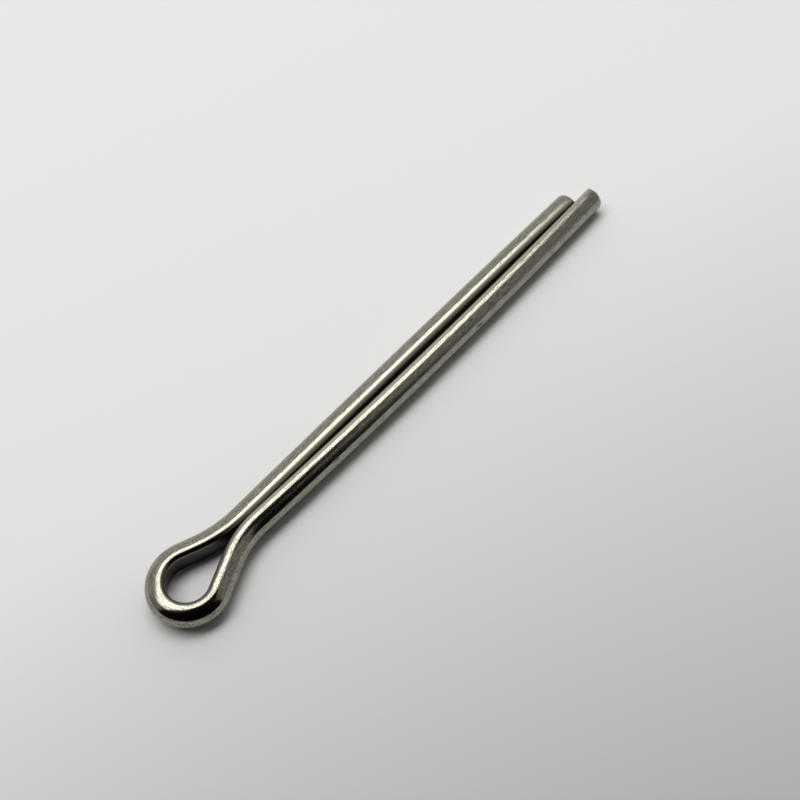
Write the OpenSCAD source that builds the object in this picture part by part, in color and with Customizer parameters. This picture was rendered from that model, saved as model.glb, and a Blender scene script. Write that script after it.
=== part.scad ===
// Split cotter pin: one length of D-section steel wire folded back on itself.
// The fold is the eye. The two prongs run on side by side, flat against flat, and one is longer.
// The pin lies on its side: X runs from the eye to the prong ends, Z is up from the surface.

/* [Wire] */
// Height of the wire's section, which is also the diameter of its round side
wire_h = 2.55; // [2.2:0.05:3]
// Thickness of the wire, from its flat to the top of its round side
wire_t = 1.8; // [1.65:0.05:1.95]
// Rounding of the two edges where the flat meets the round side
edge_r = 0.35; // [0.1:0.01:0.4]

/* [Eye] */
// Inside radius at the back of the eye, and on along its near side
eye_r = 1.95; // [1.6:0.05:3]
// Inside radius of the far side of the eye, where the bend opens out a little
shoulder_r = 2.4; // [1.6:0.05:3]
// Angle from the middle of the back of the eye to the start of that wider bend
back_angle = 29; // [10:1:60]
// How far the eye's centre lies to the near side of the split between the prongs
eye_offset = 0.55; // [0:0.05:0.7]

/* [Neck] */
// Slope of the far side of the eye as it runs in to the neck
far_taper = 21.4; // [18:0.1:30]
// Slope of the near side of the eye as it runs in to the neck
near_taper = 24.5; // [20:0.1:30]
// Radius of the far neck bend, at the wire's flat
far_neck_r = 12.8; // [6:0.1:13]
// Radius of the near neck bend, at the wire's flat
near_neck_r = 10.2; // [6:0.1:11]
// Gap left between the two flats where the neck bends come closest
neck_gap = 0.07; // [0.05:0.01:0.5]

/* [Prongs] */
// Length of the far, shorter prong from its neck bend to its end
far_prong_l = 46.9; // [20:0.1:80]
// Length of the near, longer prong from its neck bend to its end
near_prong_l = 48.4; // [20:0.1:80]
// Angle at which the far prong leaves the neck
far_flare_angle = 0.9; // [0.6:0.05:3]
// Angle at which the near prong leaves the neck
near_flare_angle = 1.3; // [0.6:0.05:3]
// Total angle through which the far prong bows back in
far_bow_angle = 0.8; // [0.2:0.05:1.2]
// Total angle through which the near prong bows back in
near_bow_angle = 3.4; // [0.2:0.05:3.4]
// Bevel that the cut leaves around the round side of each prong's end
end_bevel = 0.5; // [0.05:0.05:0.6]

/* [Hidden] */

// Each side of the pin is one limb: half the eye, a neck bend and a prong
FAR = 1;
NEAR = -1;
round_steps = 72;
bend_steps = 24;
// The edge roundings stand this much proud, so that they run into the flat and the round side
edge_lap = 0.002;
// A stretch is drawn this far past its joint, then trimmed to its neighbour's end face
overrun = 0.2;
trim_angle = 15;
// Heading from the centre of a neck bend in to the split
inward_angle = 270;
// Runs and bows are this much slimmer than the bends they meet, so a joint is one clean step
slim = 0.99;

round_r = wire_h / 2;
// The wire's axis is the centre of its round side. The flat lies this far from it.
flat_depth = wire_t - round_r;
// Centres of the two edge roundings, and the factor that carries them out to the round side
edge_x = edge_r - flat_depth;
edge_z = sqrt(pow(round_r - edge_r, 2) - pow(edge_x, 2));
blend = round_r / (round_r - edge_r);

back_axis_r = eye_r + flat_depth;
neck_axis_y = flat_depth + neck_gap / 2;

// A limb's sizes are its side, the inside radius of the eye's side, taper, neck radius,
// prong length, flare angle and bow angle
far_limb = [
    FAR, shoulder_r, far_taper, far_neck_r, far_prong_l, far_flare_angle, far_bow_angle
];
near_limb = [
    NEAR, eye_r, near_taper, near_neck_r, near_prong_l, near_flare_angle, near_bow_angle
];

// Angles swept by the eye's two arcs, from the handover between them
near_sweep = 90 + back_angle + near_taper;
far_sweep = 90 - back_angle + far_taper;

function ray(angle) = [cos(angle), sin(angle)];

// Radii of the wire's axis along a limb, and the places where one stretch hands over to the next.
// They are worked out with the limb on the +Y side of the split.
function side_axis_r(limb) = limb[1] + flat_depth;
function neck_axis_r(limb) = limb[3] - flat_depth;
function bow_axis_r(limb) = (limb[4] - end_bevel) * 180 / (PI * limb[6]);
function eye_centre(limb) = [0, -limb[0] * eye_offset];
function side_centre(limb) =
    eye_centre(limb) + (back_axis_r - side_axis_r(limb)) * ray(180 - back_angle);
function side_end(limb) = side_centre(limb) + side_axis_r(limb) * ray(90 - limb[2]);
function neck_drop(limb) = neck_axis_r(limb) * (1 - cos(limb[2]));
function run_in(limb) = (side_end(limb)[1] - neck_axis_y - neck_drop(limb)) / sin(limb[2]);
function neck_centre(limb) =
    side_end(limb) + run_in(limb) * ray(-limb[2]) + neck_axis_r(limb) * ray(90 - limb[2]);
function prong_start(limb) = neck_centre(limb) - neck_axis_r(limb) * ray(90 + limb[5]);
function bow_centre(limb) = prong_start(limb) - bow_axis_r(limb) * ray(90 + limb[5]);
function bevel_start(limb) =
    bow_centre(limb) + bow_axis_r(limb) * ray(90 + limb[5] - limb[6]);
function end_heading(limb) = limb[5] - limb[6];

// How far a limb reaches along X and away from the split
function reach_x(limb) =
    bevel_start(limb)[0] + end_bevel * cos(end_heading(limb))
    + max((end_bevel - round_r) * sin(end_heading(limb)), flat_depth * sin(end_heading(limb)));
function reach_y(limb) =
    max(side_centre(limb)[1] + side_axis_r(limb), prong_start(limb)[1], bevel_start(limb)[1])
    + round_r;

// The pin is centred over the origin
mid_x = (max(reach_x(far_limb), reach_x(near_limb)) - back_axis_r - round_r) / 2;
mid_y = (reach_y(far_limb) - reach_y(near_limb)) / 2;

// The D-shaped section: its flat faces -X, and its axis is the origin.
// Each corner is cut along the line from foot to shoulder, then filled by an edge rounding.
module wire_section() {
    foot = [-flat_depth, edge_z];
    shoulder = blend * [edge_x, edge_z];
    beyond = 2 * shoulder - foot;
    intersection() {
        circle(round_r, $fn = round_steps);
        polygon([
            [foot[0], -foot[1]], [beyond[0], -beyond[1]], [wire_h, -wire_h],
            [wire_h, wire_h], beyond, foot
        ]);
    }
    for (way = [-1, 1])
        translate([edge_x, way * edge_z]) circle(edge_r + edge_lap, $fn = round_steps);
}

// Carries a shape to a place on the wire's axis and turns it to a heading
module at(place, heading) {
    translate([place[0], place[1], round_r]) rotate(heading) children();
}

// The eye is drawn in a frame whose +X points at the handover between its two arcs
module in_eye_frame() {
    at([0, -eye_offset], 180 - back_angle) children();
}

// A bend about the origin. Its ends are flat faces square to the wire.
module bend(axis_r, from, to) {
    rotate_extrude(start = from, angle = to - from, $fn = ceil(360 * bend_steps / (to - from)))
        translate([axis_r, 0]) children();
}

// A wedge of space with the same centre as a bend. It trims a neighbour to the bend's end face.
module trim(axis_r, from, to) {
    inner = max(axis_r - wire_h, edge_r);
    rotate_extrude(start = from, angle = to - from, $fn = round_steps)
        translate([inner, -wire_h]) square([axis_r + wire_h - inner, 2 * wire_h]);
}

// The whole of the eye's curve. The near side and the back share one centre.
module eye() {
    in_eye_frame() {
        bend(back_axis_r, 0, near_sweep) wire_section();
        translate([back_axis_r - side_axis_r(far_limb), 0])
            bend(side_axis_r(far_limb), -far_sweep, 0) wire_section();
    }
}

// The straight run from the eye to the neck bend, a little overlong at both ends
module run(limb) {
    at(side_end(limb) - overrun * ray(-limb[2]), -limb[2]) rotate([90, 0, 90])
        linear_extrude(run_in(limb) + 2 * overrun) scale(slim) wire_section();
}

module far_run() {
    difference() {
        run(far_limb);
        in_eye_frame() translate([back_axis_r - side_axis_r(far_limb), 0])
            trim(side_axis_r(far_limb), -far_sweep, trim_angle - far_sweep);
        at(neck_centre(far_limb), 0)
            trim(neck_axis_r(far_limb), inward_angle - far_taper, inward_angle - far_taper + trim_angle);
    }
}

module near_run() {
    difference() {
        mirror([0, 1, 0]) run(near_limb);
        in_eye_frame() trim(back_axis_r, near_sweep - trim_angle, near_sweep);
        mirror([0, 1, 0]) at(neck_centre(near_limb), 0)
            trim(neck_axis_r(near_limb), inward_angle - near_taper, inward_angle - near_taper + trim_angle);
    }
}

// The neck bend, with the round side on its inside
module neck(limb) {
    at(neck_centre(limb), 0)
        bend(neck_axis_r(limb), inward_angle - limb[2], inward_angle + limb[5])
            mirror([1, 0]) wire_section();
}

// The long bowed stretch of a prong, trimmed to the neck bend and cut square at its own end
module bow(limb) {
    spare = overrun * 180 / (PI * bow_axis_r(limb));
    difference() {
        at(prong_start(limb), limb[5]) translate([0, -bow_axis_r(limb)])
            bend(bow_axis_r(limb), 90 - limb[6] - spare, 90 + spare)
                scale(slim) wire_section();
        at(neck_centre(limb), 0)
            trim(neck_axis_r(limb), inward_angle + limb[5] - trim_angle, inward_angle + limb[5]);
        at(bevel_start(limb), end_heading(limb))
            translate([0, -wire_h, -wire_h]) cube([2 * overrun, 2 * wire_h, 2 * wire_h]);
    }
}

// The last of a prong, square cut, with the bevel that the cut leaves around its round side
module prong_end(limb) {
    at(bevel_start(limb), end_heading(limb)) intersection() {
        rotate([90, 0, 90]) linear_extrude(end_bevel) wire_section();
        rotate([0, 90, 0])
            cylinder(end_bevel, r1 = round_r, r2 = round_r - end_bevel, $fn = round_steps);
    }
}

module prong(limb) {
    neck(limb);
    bow(limb);
    prong_end(limb);
}

module cotter_pin() {
    color("#8f8d80") translate([-mid_x, -mid_y, 0]) {
        eye();
        far_run();
        near_run();
        prong(far_limb);
        mirror([0, 1, 0]) prong(near_limb);
    }
}

cotter_pin();
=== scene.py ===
"""Dresses the cotter pin: one bent steel wire, the paper it lies on, its light and its camera."""

import logging
import math
from dataclasses import dataclass, field
from enum import Enum

import bmesh
import bpy
from mathutils import Matrix, Vector

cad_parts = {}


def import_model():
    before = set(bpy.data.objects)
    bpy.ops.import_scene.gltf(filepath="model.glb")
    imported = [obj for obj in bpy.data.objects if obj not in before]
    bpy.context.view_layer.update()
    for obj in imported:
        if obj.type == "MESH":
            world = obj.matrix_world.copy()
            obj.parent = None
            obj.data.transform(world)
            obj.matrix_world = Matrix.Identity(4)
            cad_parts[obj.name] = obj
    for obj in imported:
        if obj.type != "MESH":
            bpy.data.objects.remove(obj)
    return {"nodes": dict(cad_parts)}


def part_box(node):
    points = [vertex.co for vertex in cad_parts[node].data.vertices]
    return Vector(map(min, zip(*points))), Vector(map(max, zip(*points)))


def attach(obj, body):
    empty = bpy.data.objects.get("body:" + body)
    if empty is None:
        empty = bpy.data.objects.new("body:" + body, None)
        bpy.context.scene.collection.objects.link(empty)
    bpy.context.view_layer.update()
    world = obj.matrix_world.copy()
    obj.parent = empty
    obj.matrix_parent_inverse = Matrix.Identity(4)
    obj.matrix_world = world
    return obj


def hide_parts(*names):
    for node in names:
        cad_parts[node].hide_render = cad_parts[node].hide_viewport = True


LOG = logging.getLogger("cotter_pin")
MM = 0.001
# The softbox stretches away from the camera's side along this heading, in degrees from +X.
# The brim of the hood runs square across it.
LIGHT_HEADING = 77.0


class Limb(Enum):
    """The two halves of the folded wire, by the side of the split that each lies on."""

    FAR = 1
    NEAR = -1


class Stretch(Enum):
    """How a stretch of the wire runs, by the side of it that lies inside the bend."""

    STRAIGHT = 0
    ON_FLAT = -1
    ON_ROUND = 1


class Skin(Enum):
    """The two finishes of the wire, by the order of their materials."""

    DRAWN = 0
    CUT = 1


def srgb(code: str) -> tuple[float, float, float, float]:
    """Turns a colour's hex code to linear light.

    Args:
        code: six hex digits, with or without a leading hash sign.

    Returns:
        Red, green, blue and an alpha of 1.
    """
    code = code.lstrip("#")
    parts = [int(code[i : i + 2], 16) / 255 for i in (0, 2, 4)]
    linear = [p / 12.92 if p <= 0.04045 else ((p + 0.055) / 1.055) ** 2.4 for p in parts]
    return (linear[0], linear[1], linear[2], 1.0)


def add_node(
    tree: bpy.types.NodeTree,
    kind: str,
    settings: dict[str, object] | None = None,
    links: dict[str, bpy.types.NodeSocket] | None = None,
) -> bpy.types.Node:
    """Adds one shader node with its settings and the links into it.

    Args:
        tree: node tree that gets the node.
        kind: the node's type name.
        settings: value for each named or numbered input, or for each property of the node.
        links: socket that feeds each named or numbered input.

    Returns:
        The new node.
    """
    node = tree.nodes.new(kind)
    for name, value in (settings or {}).items():
        if name.isdigit():
            node.inputs[int(name)].default_value = value
        elif name in node.inputs:
            node.inputs[name].default_value = value
        else:
            setattr(node, name, value)
    for name, source in (links or {}).items():
        key = int(name) if name.isdigit() else name
        tree.links.new(source, node.inputs[key])
    return node


def new_material(name: str) -> tuple[bpy.types.Material, bpy.types.NodeTree]:
    """Makes a material with no nodes.

    Args:
        name: the material's name.

    Returns:
        The material and its node tree.
    """
    material = bpy.data.materials.new(name)
    material.use_nodes = True
    material.node_tree.nodes.clear()
    return material, material.node_tree


def new_piece(
    name: str, mesh: bmesh.types.BMesh, finishes: list[bpy.types.Material]
) -> bpy.types.Object:
    """Makes an object of a finished mesh, at the origin, and links it to the scene.

    Args:
        name: the object's name.
        mesh: the mesh in metres. It is freed.
        finishes: the materials, in the order of the mesh's material numbers.

    Returns:
        The object.
    """
    data = bpy.data.meshes.new(name)
    mesh.to_mesh(data)
    mesh.free()
    for finish in finishes:
        data.materials.append(finish)
    piece = bpy.data.objects.new(name, data)
    bpy.context.scene.collection.objects.link(piece)
    return piece


def arc(centre: Vector, radius: float, start: float, sweep: float, count: int) -> list[Vector]:
    """Lists evenly spaced points along an arc, from its start and without its end.

    Args:
        centre: the arc's centre.
        radius: its radius.
        start: the angle where it starts, in radians.
        sweep: the angle that it runs through, in radians.
        count: how many points to give.

    Returns:
        The points.
    """
    angles = [start + sweep * i / count for i in range(count)]
    return [centre + radius * Vector((math.cos(a), math.sin(a))) for a in angles]


@dataclass(frozen=True)
class Marks:
    """Irregular marks scattered over the wire.

    Each has a length along the wire and a width around it, in millimetres. Smaller marks are
    laid over them in so many layers, and their strength says how much each layer shows.
    """

    length: float
    width: float
    layers: float
    strength: float

    def lay(self, tree: bpy.types.NodeTree, place: bpy.types.NodeSocket) -> bpy.types.NodeSocket:
        """Lays the marks on the wire.

        Args:
            tree: the material's node tree.
            place: the wire's map, in millimetres.

        Returns:
            The marks, from 0 to 1.
        """
        spread = add_node(
            tree,
            "ShaderNodeMapping",
            {"Scale": (1 / self.length, 1 / self.width, 1.0)},
            {"Vector": place},
        )
        marks = add_node(
            tree,
            "ShaderNodeTexNoise",
            {"Scale": 1.0, "Detail": self.layers, "Roughness": self.strength},
            {"Vector": spread.outputs["Vector"]},
        )
        return marks.outputs["Fac"]


@dataclass(frozen=True)
class DrawnSteel:
    """Bright low-carbon steel wire, cold drawn through a die.

    The die leaves fine lines along the wire and handling leaves dull specks. So a highlight is
    sharp across the wire and broken into thin streaks along it. The rolled flat is matt, and its
    dark colour is painted shade in the eye and the split. The two edges are rubbed bright and
    carry a painted highlight, and one small nick on the near prong is a dark spot of painted
    shade.
    Sizes are in millimetres.
    """

    colour: str = "#b6b3a4"
    dull: str = "#55534a"
    # Partly rubbing and partly a painted highlight: the edges' colour is paler than the flat and
    # the grain.
    rubbed_and_highlight: str = "#aba89b"
    # Painted shade: the flat's dark colour darkens the eye's inner wall and the split between the
    # prongs.
    flat: str = "#423f3a"
    roughness_low: float = 0.08
    roughness_high: float = 0.20
    flat_roughness: float = 0.58
    # Real draw lines lie about 0.01 mm apart. That is too fine to show, so these are coarser.
    lines: Marks = Marks(length=1.0, width=0.09, layers=3.0, strength=0.7)
    # Real specks are about 0.02 mm across. That is too fine to show, so these are coarser.
    specks: Marks = Marks(length=0.11, width=0.11, layers=4.0, strength=0.8)
    speck_depth: float = 0.004
    # How much of the grain is lines. The rest is specks.
    line_share: float = 0.25
    # The grain's value where the steel is at its palest, and where it is at its dullest
    pale_grain: float = 0.54
    dull_grain: float = 0.46
    # Values of the grain between which the roughness runs from low to high
    smooth_grain: float = 0.3
    rough_grain: float = 0.7
    # The nick's place along and around the wire, and half its length and width
    nick_at: tuple[float, float] = (-41.3, 4.85)
    nick_size: tuple[float, float] = (0.5, 0.22)
    # Painted shade: the nick is only a dark spot of colour, and the surface is not dented there.
    nick_shade_colour: str = "#2b261d"
    # The nick fades in from its rim to its core, as shares of its size
    nick_rim: float = 1.2
    nick_core: float = 0.1

    def material(self) -> bpy.types.Material:
        """Builds the shader. Its UV map is in millimetres: U along the wire, V around it."""
        material, tree = new_material("drawn_steel")
        place = add_node(tree, "ShaderNodeUVMap", {"uv_map": "wire"}).outputs["UV"]
        specks = self.specks.lay(tree, place)
        streaks = add_node(
            tree,
            "ShaderNodeMath",
            {"operation": "MULTIPLY", "1": self.line_share},
            {"0": self.lines.lay(tree, place)},
        )
        grain = add_node(
            tree,
            "ShaderNodeMath",
            {"operation": "MULTIPLY_ADD", "1": 1.0 - self.line_share},
            {"0": specks, "2": streaks.outputs[0]},
        ).outputs[0]
        bump = add_node(
            tree,
            "ShaderNodeBump",
            {"Distance": self.speck_depth * MM},
            {"Height": specks},
        )
        shader = add_node(
            tree,
            "ShaderNodeBsdfPrincipled",
            {"Metallic": 1.0},
            {
                "Base Color": self.tint(tree, grain, self.nick_shade(tree, place)),
                "Roughness": self.dulling(tree, grain),
                "Normal": bump.outputs["Normal"],
            },
        )
        add_node(tree, "ShaderNodeOutputMaterial", {}, {"Surface": shader.outputs["BSDF"]})
        return material

    def nick_shade(
        self, tree: bpy.types.NodeTree, place: bpy.types.NodeSocket
    ) -> bpy.types.NodeSocket:
        """Finds the nick, a dark spot of painted shade.

        Args:
            tree: the material's node tree.
            place: the wire's map.

        Returns:
            1 in the middle of the nick, fading to 0 at its rim.
        """
        from_middle = add_node(
            tree,
            "ShaderNodeMapping",
            {
                "vector_type": "TEXTURE",
                "Location": (*self.nick_at, 0.0),
                "Scale": (*self.nick_size, 1.0),
            },
            {"Vector": place},
        )
        reach = add_node(
            tree,
            "ShaderNodeVectorMath",
            {"operation": "LENGTH"},
            {"0": from_middle.outputs["Vector"]},
        )
        nick_shade = add_node(
            tree,
            "ShaderNodeMapRange",
            {"From Min": self.nick_rim, "From Max": self.nick_core},
            {"Value": reach.outputs["Value"]},
        )
        return nick_shade.outputs["Result"]

    def tint(
        self,
        tree: bpy.types.NodeTree,
        grain: bpy.types.NodeSocket,
        nick_shade: bpy.types.NodeSocket,
    ) -> bpy.types.NodeSocket:
        """Lays the colours over each other: grain, the flat's painted shade, the rubbed edges
        with their painted highlight, and the nick's painted shade.

        Args:
            tree: the material's node tree.
            grain: the lines and specks together.
            nick_shade: how much of the nick's painted shade shows.

        Returns:
            The colour.
        """
        dullness = add_node(
            tree,
            "ShaderNodeMapRange",
            {"From Min": self.pale_grain, "From Max": self.dull_grain},
            {"Value": grain},
        )
        flat_shade = add_node(tree, "ShaderNodeAttribute", {"attribute_name": "flat_shade"})
        rubbed_and_highlight = add_node(tree, "ShaderNodeAttribute", {"attribute_name": "rubbed_and_highlight"})
        tint = add_node(
            tree,
            "ShaderNodeMix",
            {"data_type": "RGBA", "6": srgb(self.colour), "7": srgb(self.dull)},
            {"0": dullness.outputs["Result"]},
        )
        # The flat's colour is painted shade, the rubbed colour is partly a painted highlight, and
        # the nick's colour is painted shade.
        for colour, share in (
            (self.flat, flat_shade.outputs["Fac"]),
            (self.rubbed_and_highlight, rubbed_and_highlight.outputs["Fac"]),
            (self.nick_shade_colour, nick_shade),
        ):
            tint = add_node(
                tree,
                "ShaderNodeMix",
                {"data_type": "RGBA", "7": srgb(colour)},
                {"0": share, "6": tint.outputs[2]},
            )
        return tint.outputs[2]

    def dulling(
        self, tree: bpy.types.NodeTree, grain: bpy.types.NodeSocket
    ) -> bpy.types.NodeSocket:
        """Varies the roughness with the grain, and raises it on the rolled flat.

        Args:
            tree: the material's node tree.
            grain: the lines and specks together.

        Returns:
            The roughness.
        """
        drawn = add_node(
            tree,
            "ShaderNodeMapRange",
            {
                "From Min": self.smooth_grain,
                "From Max": self.rough_grain,
                "To Min": self.roughness_low,
                "To Max": self.roughness_high,
            },
            {"Value": grain},
        )
        matt = add_node(tree, "ShaderNodeAttribute", {"attribute_name": "matt"})
        dulled = add_node(
            tree,
            "ShaderNodeMapRange",
            {"To Max": self.flat_roughness},
            {"Value": matt.outputs["Fac"], "To Min": drawn.outputs["Result"]},
        )
        return dulled.outputs["Result"]


@dataclass(frozen=True)
class CutSteel:
    """The same wire where it was cut to length, and the cut is left bare.

    The shear leaves a torn grain, so the end is matt, and it is coloured faintly brown.
    Sizes are in millimetres.
    """

    colour: str = "#93826d"
    roughness: float = 0.5
    grain_size: float = 0.25
    grain_depth: float = 0.02
    grain_layers: float = 3.0
    grain_strength: float = 0.4

    def material(self) -> bpy.types.Material:
        """Builds the shader, with a fine grain across the cut."""
        material, tree = new_material("cut_steel")
        place = add_node(tree, "ShaderNodeTexCoord")
        grain = add_node(
            tree,
            "ShaderNodeTexNoise",
            {"Scale": 1 / (self.grain_size * MM), "Detail": self.grain_layers},
            {"Vector": place.outputs["Object"]},
        )
        bump = add_node(
            tree,
            "ShaderNodeBump",
            {"Strength": self.grain_strength, "Distance": self.grain_depth * MM},
            {"Height": grain.outputs["Fac"]},
        )
        shader = add_node(
            tree,
            "ShaderNodeBsdfPrincipled",
            {"Base Color": srgb(self.colour), "Metallic": 1.0, "Roughness": self.roughness},
            {"Normal": bump.outputs["Normal"]},
        )
        add_node(tree, "ShaderNodeOutputMaterial", {}, {"Surface": shader.outputs["BSDF"]})
        return material


@dataclass(frozen=True)
class LimbShape:
    """One half of the folded wire, from the middle of the eye's back to the prong's end.

    Lengths are in millimetres and angles in degrees. The radii are those of the wire's flat.
    The section turns about the wire's axis by the twist, from a distance along the wire.
    """

    limb: Limb
    side_r: float
    taper: float
    neck_r: float
    prong_l: float
    flare: float
    bow: float
    twist: float = 0.0
    twist_from: float = 0.0


@dataclass(frozen=True)
class Leg:
    """One stretch of a limb.

    The amount is a straight's length in millimetres or a bend's angle in degrees. The radius is
    that of the wire's axis.
    """

    kind: Stretch
    amount: float
    radius: float = 0.0


@dataclass
class Tip:
    """The growing end of a limb: its ring of edges, and the wire's axis and heading there."""

    limb: Limb
    ring: list[bmesh.types.BMEdge]
    place: Vector
    heading: float
    walked: float = 0.0
    twisted: float = 0.0

    @property
    def forward(self) -> Vector:
        """The way that the wire points."""
        return Vector((math.cos(self.heading), math.sin(self.heading), 0.0))

    def take(self, mesh: bmesh.types.BMesh, grown: list[object]) -> list[bmesh.types.BMVert]:
        """Takes what an operator has grown as the new ring, marked with its distance.

        Args:
            mesh: the mesh that grows.
            grown: what the operator made.

        Returns:
            The new ring's vertices.
        """
        along = mesh.verts.layers.float["along"]
        verts = [g for g in grown if isinstance(g, bmesh.types.BMVert)]
        members = set(verts)
        edges = [g for g in grown if isinstance(g, bmesh.types.BMEdge)]
        self.ring = [edge for edge in edges if members.issuperset(edge.verts)]
        for vert in verts:
            vert[along] = self.limb.value * self.walked
        return verts


@dataclass
class Wire:
    """The bent wire of the pin, swept stretch by stretch from the eye's back to each end.

    Lengths are in millimetres and angles in degrees.
    """

    height: float = 2.55
    thickness: float = 1.8
    edge_r: float = 0.35
    eye_r: float = 1.95
    back_angle: float = 29.0
    eye_offset: float = 0.55
    neck_gap: float = 0.07
    end_bevel: float = 0.5
    far: LimbShape = field(
        default_factory=lambda: LimbShape(
            limb=Limb.FAR,
            side_r=2.4,
            taper=21.4,
            neck_r=12.8,
            prong_l=46.9,
            flare=0.9,
            bow=0.8,
            twist=5.0,
            twist_from=11.0,
        )
    )
    near: LimbShape = field(
        default_factory=lambda: LimbShape(
            limb=Limb.NEAR,
            side_r=1.95,
            taper=24.5,
            neck_r=10.2,
            prong_l=48.4,
            flare=1.3,
            bow=3.4,
        )
    )
    twist_length: float = 8.0
    # Angle over which the flat's matt finish and painted shade fade on the round side
    rolled_and_shade_fade: float = 5.0
    # The rubbed brightness and painted highlight of the edges fade over this on the flat and
    # twice it beyond
    rubbed_and_highlight_fade: float = 0.15
    # Distances from the eye's back between which the matt finish and the rubbed brightness with
    # its painted highlight grow to the full, and how much of each there is at the eye
    wear_from: float = 7.0
    wear_to: float = 13.0
    eye_rubbed_and_highlight: float = 0.25
    eye_matt: float = 0.15
    # How many points each part of the section gets, and how long the steps along the wire are
    round_points: int = 60
    edge_points: int = 10
    flat_points: int = 8
    run_step: float = 0.3
    bend_step: float = 1.2
    bend_step_angle: float = 2.5
    end_steps: int = 8
    # How far a big face outweighs a small one when the shading is evened out
    normal_weight: int = 60

    @property
    def round_r(self) -> float:
        """Radius of the wire's round side."""
        return self.height / 2

    @property
    def flat_depth(self) -> float:
        """How far the flat lies from the wire's axis."""
        return self.thickness - self.round_r

    @property
    def edge_centre(self) -> Vector:
        """Centre of the edge rounding on the section's +Y side."""
        x = self.edge_r - self.flat_depth
        return Vector((x, math.sqrt((self.round_r - self.edge_r) ** 2 - x**2)))

    def outline(self) -> list[Vector]:
        """Works out the D-shaped section, anticlockwise from the +Y end of its flat.

        Returns:
            Points of X away from the flat and Y along the flat, in millimetres.
        """
        edge = self.edge_centre
        low_edge = Vector((edge.x, -edge.y))
        turn = math.atan2(edge.y, edge.x)
        flat = [
            Vector((-self.flat_depth, edge.y * (1 - 2 * i / self.flat_points)))
            for i in range(self.flat_points)
        ]
        return [
            *flat,
            *arc(low_edge, self.edge_r, math.pi, math.pi - turn, self.edge_points),
            *arc(Vector((0.0, 0.0)), self.round_r, -turn, 2 * turn, self.round_points),
            *arc(edge, self.edge_r, turn, math.pi - turn, self.edge_points),
        ]

    def rolled_and_shade_share(self, point: Vector) -> float:
        """Tells how far a point shows the rolled flat's matt finish and painted shade.

        Args:
            point: a point of the outline.

        Returns:
            1 on the flat and its edges, fading to 0 a little way up the round side.
        """
        start = math.degrees(math.atan2(self.edge_centre.y, self.edge_centre.x))
        here = abs(math.degrees(math.atan2(point.y, point.x)))
        share = min(1.0, max(0.0, 1.0 - (start - here) / self.rolled_and_shade_fade))
        return share * share * (3.0 - 2.0 * share)

    def rubbed_and_highlight_share(self, point: Vector) -> float:
        """Tells how far a point is rubbed bright and painted with a highlight, as the two edges
        are.

        Args:
            point: a point of the outline.

        Returns:
            1 on the rounding of an edge, fading to 0 over the next of the flat or round side.
        """
        edge = self.edge_centre
        shoulder_x = edge.x * self.round_r / (self.round_r - self.edge_r)
        off_flat = (edge.y - abs(point.y)) / self.rubbed_and_highlight_fade
        off_round = (point.x - shoulder_x) / (2.0 * self.rubbed_and_highlight_fade)
        return min(1.0, max(0.0, 1.0 - max(off_flat, off_round, 0.0)))

    def route(self, shape: LimbShape) -> list[Leg]:
        """Lists the stretches of one limb, from the middle of the eye's back outwards.

        Args:
            shape: the limb.

        Returns:
            The back and side of the eye, the run to the neck, the neck bend and the prong.
        """
        back_r = self.eye_r + self.flat_depth
        side_r = shape.side_r + self.flat_depth
        neck_r = shape.neck_r - self.flat_depth
        taper = math.radians(shape.taper)
        back = math.radians(180 - self.back_angle)
        centre_y = -shape.limb.value * self.eye_offset + (back_r - side_r) * math.sin(back)
        side_end_y = centre_y + side_r * math.cos(taper)
        neck_y = self.flat_depth + self.neck_gap / 2
        run = (side_end_y - neck_y - neck_r * (1 - math.cos(taper))) / math.sin(taper)
        bow_r = math.degrees((shape.prong_l - self.end_bevel) / shape.bow)
        return [
            Leg(Stretch.ON_FLAT, self.back_angle, back_r),
            Leg(Stretch.ON_FLAT, 90 - self.back_angle + shape.taper, side_r),
            Leg(Stretch.STRAIGHT, run),
            Leg(Stretch.ON_ROUND, shape.taper + shape.flare, neck_r),
            Leg(Stretch.ON_FLAT, shape.bow, bow_r),
        ]

    def build(self, finishes: dict[Skin, bpy.types.Material]) -> bpy.types.Object:
        """Sweeps the section both ways from the eye's back, closes the ends and unwraps it.

        Args:
            finishes: the material of each skin.

        Returns:
            The wire, at the place of the CAD node that it stands for.
        """
        mesh = bmesh.new()
        start = Vector((-(self.eye_r + self.flat_depth), -self.eye_offset, self.round_r))
        first = self.first_ring(mesh, start)
        ends = []
        for shape in (self.far, self.near):
            tip = Tip(shape.limb, first, start, shape.limb.value * math.pi / 2)
            for leg in self.route(shape):
                self.grow(mesh, tip, shape, leg)
            self.round_end(mesh, tip)
            ends.append(tip.ring)
        self.wear(mesh)
        self.unwrap(mesh)
        for ring in ends:
            bmesh.ops.edgeloop_fill(mesh, edges=ring, mat_nr=Skin.CUT.value)
        bmesh.ops.recalc_face_normals(mesh, faces=mesh.faces)
        for face in mesh.faces:
            face.smooth = True
        self.settle(mesh)
        wire = new_piece("bent_wire", mesh, [finishes[skin] for skin in Skin])
        even = wire.modifiers.new("even_normals", "WEIGHTED_NORMAL")
        even.keep_sharp = False
        even.weight = self.normal_weight
        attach(wire, "root")
        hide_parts("cotter_pin")
        return wire

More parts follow.
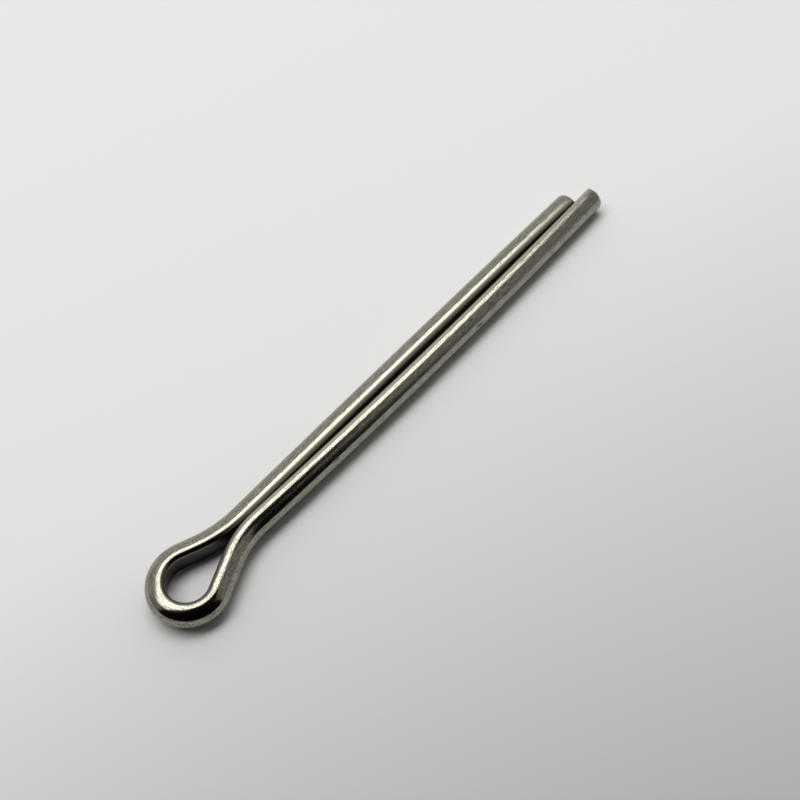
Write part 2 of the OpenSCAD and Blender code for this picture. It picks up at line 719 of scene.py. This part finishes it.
    def first_ring(self, mesh: bmesh.types.BMesh, start: Vector) -> list[bmesh.types.BMEdge]:
        """Draws the section at the middle of the eye's back, with the shares of its finishes,
        its painted shade and its painted highlight.

        Args:
            mesh: the empty mesh.
            start: the wire's axis there.

        Returns:
            The ring of edges.
        """
        layers = mesh.verts.layers.float
        for name in ("along", "around", "flat_shade", "matt", "rubbed_and_highlight"):
            layers.new(name)
        ring = []
        walked = 0.0
        outline = self.outline()
        for point, following in zip(outline, outline[1:] + outline[:1]):
            vert = mesh.verts.new(start + Vector((-point.x, 0.0, point.y)))
            vert[layers["around"]] = walked
            vert[layers["flat_shade"]] = vert[layers["matt"]] = self.rolled_and_shade_share(point)
            vert[layers["rubbed_and_highlight"]] = self.rubbed_and_highlight_share(point)
            walked += (following - point).length
            ring.append(vert)
        return [mesh.edges.new(pair) for pair in zip(ring, ring[1:] + ring[:1])]

    def grow(self, mesh: bmesh.types.BMesh, tip: Tip, shape: LimbShape, leg: Leg) -> None:
        """Carries a limb's tip along one stretch, in short steps.

        Args:
            mesh: the mesh that grows.
            tip: the limb's growing end.
            shape: the limb.
            leg: the stretch.
        """
        if leg.kind is Stretch.STRAIGHT:
            steps = max(1, round(leg.amount / self.run_step))
            step = leg.amount / steps * tip.forward
            for _ in range(steps):
                grown = bmesh.ops.extrude_edge_only(mesh, edges=tip.ring)["geom"]
                tip.walked += step.length
                bmesh.ops.translate(mesh, verts=tip.take(mesh, grown), vec=step)
                tip.place = tip.place + step
            return
        length = leg.radius * math.radians(leg.amount)
        steps = max(1, round(max(leg.amount / self.bend_step_angle, length / self.bend_step)))
        turn = leg.kind.value * tip.limb.value * math.radians(leg.amount) / steps
        outward = tip.limb.value * Vector((-tip.forward.y, tip.forward.x, 0.0))
        centre = tip.place + leg.kind.value * leg.radius * outward
        for _ in range(steps):
            grown = bmesh.ops.spin(
                mesh, geom=tip.ring, cent=centre, axis=(0.0, 0.0, 1.0), angle=turn, steps=1
            )["geom_last"]
            tip.walked += length / steps
            tip.heading += turn
            tip.place = centre + Matrix.Rotation(turn, 3, "Z") @ (tip.place - centre)
            self.twist(mesh, tip, shape, tip.take(mesh, grown))

    def twist(
        self,
        mesh: bmesh.types.BMesh,
        tip: Tip,
        shape: LimbShape,
        verts: list[bmesh.types.BMVert],
    ) -> None:
        """Turns a limb's newest ring about the wire's axis, as far as its distance asks.

        Args:
            mesh: the mesh that grows.
            tip: the limb's growing end.
            shape: the limb.
            verts: the ring's vertices.
        """
        share = min(1.0, max(0.0, (tip.walked - shape.twist_from) / self.twist_length))
        extra = shape.twist * share - tip.twisted
        tip.twisted += extra
        spin = Matrix.Rotation(math.radians(extra), 3, tip.forward)
        bmesh.ops.rotate(mesh, verts=verts, cent=tip.place, matrix=spin)

    def round_end(self, mesh: bmesh.types.BMesh, tip: Tip) -> None:
        """Draws the last of a prong, where the round side rolls over towards the cut.

        Args:
            mesh: the mesh that grows.
            tip: the limb's growing end.
        """
        start, walked = tip.place, tip.walked
        done = 0.0
        for i in range(self.end_steps):
            turn = math.pi / 2 * (i + 1) / self.end_steps
            step = self.end_bevel * math.sin(turn) - done
            done += step
            tip.place = start + done * tip.forward
            tip.walked = walked + done
            grown = bmesh.ops.extrude_edge_only(mesh, edges=tip.ring)["geom"]
            verts = tip.take(mesh, grown)
            bmesh.ops.translate(mesh, verts=verts, vec=step * tip.forward)
            limit = self.round_r - self.end_bevel * (1.0 - math.cos(turn))
            for vert in verts:
                off = vert.co - tip.place
                vert.co = tip.place + off * min(1.0, limit / off.length)
            # The bare steel of the cut starts halfway round
            if 2 * i >= self.end_steps:
                for face in {f for edge in tip.ring for f in edge.link_faces}:
                    face.material_index = Skin.CUT.value

    def wear(self, mesh: bmesh.types.BMesh) -> None:
        """Lowers the shares of rubbing with its painted highlight and of matt finish towards the
        eye, which keeps its drawn finish.

        Args:
            mesh: the swept skin.
        """
        layers = mesh.verts.layers.float
        along, matt, rubbed_and_highlight = layers["along"], layers["matt"], layers["rubbed_and_highlight"]
        for vert in mesh.verts:
            share = (abs(vert[along]) - self.wear_from) / (self.wear_to - self.wear_from)
            vert[rubbed_and_highlight] *= min(1.0, max(self.eye_rubbed_and_highlight, share))
            vert[matt] *= min(1.0, max(self.eye_matt, share))

    def unwrap(self, mesh: bmesh.types.BMesh) -> None:
        """Gives the swept skin a map in millimetres: U along the wire, V around it.

        Args:
            mesh: the swept skin, before its ends are closed.
        """
        outline = self.outline()
        girth = sum((outline[i] - outline[i - 1]).length for i in range(len(outline)))
        along = mesh.verts.layers.float["along"]
        around = mesh.verts.layers.float["around"]
        uv = mesh.loops.layers.uv.new("wire")
        for face in mesh.faces:
            places = [loop.vert[around] for loop in face.loops]
            wraps = max(places) - min(places) > girth / 2
            for loop, v in zip(face.loops, places):
                if wraps and v < girth / 2:
                    v += girth
                loop[uv].uv = (loop.vert[along], v)

    @staticmethod
    def settle(mesh: bmesh.types.BMesh) -> None:
        """Turns the wire to metres and sets it over its CAD node, on the same surface.

        Args:
            mesh: the finished wire, in millimetres.
        """
        low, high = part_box("cotter_pin")
        bmesh.ops.scale(mesh, verts=mesh.verts, vec=(MM, MM, MM))
        mine = [
            (min(v.co[i] for v in mesh.verts), max(v.co[i] for v in mesh.verts)) for i in range(3)
        ]
        shift = Vector([(low[i] + high[i]) / 2 - sum(mine[i]) / 2 for i in range(3)])
        shift.z = low[2] - mine[2][0]
        bmesh.ops.translate(mesh, verts=mesh.verts, vec=shift)


@dataclass
class Paper:
    """A sheet of uncoated paper. Its bare fibres look white, with almost no shine.

    Its half width is in metres, so wide that no edge comes into view.
    """

    colour: str = "#fbfbfa"
    roughness: float = 0.9
    specular: float = 0.1
    half_width: float = 10.0

    def build(self) -> bpy.types.Object:
        """Lays the sheet under the pin."""
        mesh = bmesh.new()
        bmesh.ops.create_grid(mesh, x_segments=1, y_segments=1, size=self.half_width)
        material, tree = new_material("paper")
        shader = add_node(
            tree,
            "ShaderNodeBsdfPrincipled",
            {
                "Base Color": srgb(self.colour),
                "Roughness": self.roughness,
                "Specular IOR Level": self.specular,
            },
        )
        add_node(tree, "ShaderNodeOutputMaterial", {}, {"Surface": shader.outputs["BSDF"]})
        return new_piece("paper", mesh, [material])


@dataclass
class Softbox:
    """The big lamp that lies flat overhead, from near the pin to well beyond it.

    Its reaches from over the pin are in metres, and its glow is the brightness of its face.
    """

    height: float = 1.5
    near: float = 0.09
    far: float = 0.915
    left: float = 1.17
    right: float = 0.87
    glow: float = 3.2
    colour: tuple[float, float, float] = (1.0, 0.995, 0.98)

    def build(self) -> bpy.types.Object:
        """Hangs the lamp."""
        heading = math.radians(LIGHT_HEADING)
        lamp = bpy.data.lights.new("softbox", "AREA")
        lamp.shape = "RECTANGLE"
        lamp.size = self.left + self.right
        lamp.size_y = self.far - self.near
        lamp.color = self.colour
        lamp.energy = self.glow * math.pi * lamp.size * lamp.size_y
        softbox = bpy.data.objects.new("softbox", lamp)
        out = Vector((math.cos(heading), math.sin(heading), 0.0))
        side = Vector((math.sin(heading), -math.cos(heading), 0.0))
        middle = out * (self.near + self.far) / 2 + side * (self.right - self.left) / 2
        softbox.rotation_euler = (0.0, 0.0, heading - math.pi / 2)
        softbox.location = (middle.x, middle.y, self.height)
        bpy.context.scene.collection.objects.link(softbox)
        return softbox


@dataclass
class Hood:
    """A black felt hood over the camera's side, which the wire's near flank mirrors.

    Its roof ends over the pin in a brim. It has a wall on the left and part of one in front, and
    is open to the right, to the pin and below. Its reaches from the pin are in metres.
    """

    height: float = 0.16
    left: float = -0.133
    right: float = 0.060
    front: float = -0.107
    wall_end: float = 0.040
    brim: float = 0.014
    colour: str = "#141413"

    def build(self) -> bpy.types.Object:
        """Stands the hood on the paper, hidden from the camera itself."""
        mesh = bmesh.new()
        corners = (
            (self.left, self.brim_at(self.left)),
            (self.left, self.front),
            (self.wall_end, self.front),
            (self.right, self.front),
            (self.right, self.brim_at(self.right)),
        )
        roof = mesh.faces.new([mesh.verts.new((x, y, self.height)) for x, y in corners])
        grown = bmesh.ops.extrude_edge_only(mesh, edges=roof.edges[:2])["geom"]
        feet = [g for g in grown if isinstance(g, bmesh.types.BMVert)]
        bmesh.ops.translate(mesh, verts=feet, vec=(0.0, 0.0, -self.height))
        material, tree = new_material("black_felt")
        shader = add_node(tree, "ShaderNodeBsdfDiffuse", {"Color": srgb(self.colour)})
        add_node(tree, "ShaderNodeOutputMaterial", {}, {"Surface": shader.outputs["BSDF"]})
        hood = new_piece("black_hood", mesh, [material])
        hood.visible_camera = False
        return hood

    def brim_at(self, x: float) -> float:
        """Tells where the brim is.

        Args:
            x: the place along X.

        Returns:
            The brim's place along Y.
        """
        heading = math.radians(LIGHT_HEADING)
        return (self.brim - x * math.cos(heading)) / math.sin(heading)


@dataclass
class Room:
    """The dim room, grey all round and almost black towards the camera's side.

    Each wall pairs a direction, from -1 away from the dark side to 1 towards it, with a grey.
    """

    dark_heading: float = 242.0
    walls: tuple[tuple[float, float], ...] = (
        (-1.0, 0.75),
        (-0.74, 0.54),
        (-0.20, 0.36),
        (0.50, 0.36),
        (0.62, 0.02),
        (1.0, 0.01),
    )

    def build(self) -> None:
        """Fills the room with its light."""
        world = bpy.data.worlds.new("room")
        world.use_nodes = True
        tree = world.node_tree
        dark = math.radians(self.dark_heading)
        place = add_node(tree, "ShaderNodeTexCoord")
        level = add_node(
            tree,
            "ShaderNodeVectorMath",
            {"operation": "MULTIPLY", "1": (1.0, 1.0, 0.0)},
            {"0": place.outputs["Generated"]},
        )
        heading = add_node(
            tree, "ShaderNodeVectorMath", {"operation": "NORMALIZE"}, {"0": level.outputs[0]}
        )
        facing = add_node(
            tree,
            "ShaderNodeVectorMath",
            {"operation": "DOT_PRODUCT", "1": (math.cos(dark), math.sin(dark), 0.0)},
            {"0": heading.outputs[0]},
        )
        share = add_node(
            tree,
            "ShaderNodeMath",
            {"operation": "MULTIPLY_ADD", "1": 0.5, "2": 0.5},
            {"0": facing.outputs["Value"]},
        )
        light = add_node(tree, "ShaderNodeValToRGB", {}, {"Fac": share.outputs[0]})
        marks = light.color_ramp.elements
        for _ in range(len(self.walls) - len(marks)):
            marks.new(0.5)
        for mark, (direction, grey) in zip(marks, self.walls):
            mark.position = direction / 2 + 0.5
            mark.color = (grey, grey, grey, 1.0)
        tree.links.new(light.outputs["Color"], tree.nodes["Background"].inputs["Color"])
        bpy.context.scene.world = world


@dataclass
class Viewpoint:
    """The camera. Lengths are in metres, but the lens and sensor are in millimetres.

    Its angles are in degrees: how steeply it looks down, the heading that it looks along, and
    its roll.
    """

    target: tuple[float, float, float] = (0.00006, -0.00065, 0.0)
    distance: float = 0.1392
    elevation: float = 56.96
    azimuth: float = 43.94
    roll: float = 2.874
    lens: float = 67.5
    sensor_width: float = 36.0
    clip_start: float = 0.001

    def build(self) -> None:
        """Sets the camera over the pin and looks down at it."""
        el, az, roll = (math.radians(a) for a in (self.elevation, self.azimuth, self.roll))
        forward = Vector(
            (math.cos(el) * math.cos(az), math.cos(el) * math.sin(az), -math.sin(el))
        )
        right = forward.cross(Vector((0.0, 0.0, 1.0))).normalized()
        down = forward.cross(right)
        across = math.cos(roll) * right + math.sin(roll) * down
        below = math.cos(roll) * down - math.sin(roll) * right
        data = bpy.data.cameras.new("camera")
        data.sensor_width = self.sensor_width
        data.lens = self.lens
        data.clip_start = self.clip_start
        camera = bpy.data.objects.new("camera", data)
        camera.location = Vector(self.target) - self.distance * forward
        camera.rotation_euler = Matrix((across, -below, -forward)).transposed().to_euler()
        bpy.context.scene.collection.objects.link(camera)
        bpy.context.scene.camera = camera


@dataclass
class Studio:
    """The paper, the softbox overhead, the hood, the dim room and the camera."""

    paper: Paper = field(default_factory=Paper)
    softbox: Softbox = field(default_factory=Softbox)
    hood: Hood = field(default_factory=Hood)
    room: Room = field(default_factory=Room)
    viewpoint: Viewpoint = field(default_factory=Viewpoint)

    def build(self) -> list[bpy.types.Object]:
        """Makes the stage, the room's light and the camera.

        Returns:
            The pieces of the stage.
        """
        stage = [self.paper.build(), self.softbox.build(), self.hood.build()]
        self.room.build()
        self.viewpoint.build()
        return stage


def main() -> None:
    """Builds the wire and the studio in order."""
    logging.basicConfig(level=logging.INFO, format="%(name)s: %(message)s")
    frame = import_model()
    LOG.info("frame has %d node(s)", len(frame["nodes"]))
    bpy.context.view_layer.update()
    wire = Wire().build({Skin.DRAWN: DrawnSteel().material(), Skin.CUT: CutSteel().material()})
    LOG.info("%s: %d faces", wire.name, len(wire.data.polygons))
    for piece in Studio().build():
        LOG.info("stage: %s", piece.name)
    bpy.context.scene.view_settings.view_transform = "Standard"


if __name__ == "__main__":
    main()
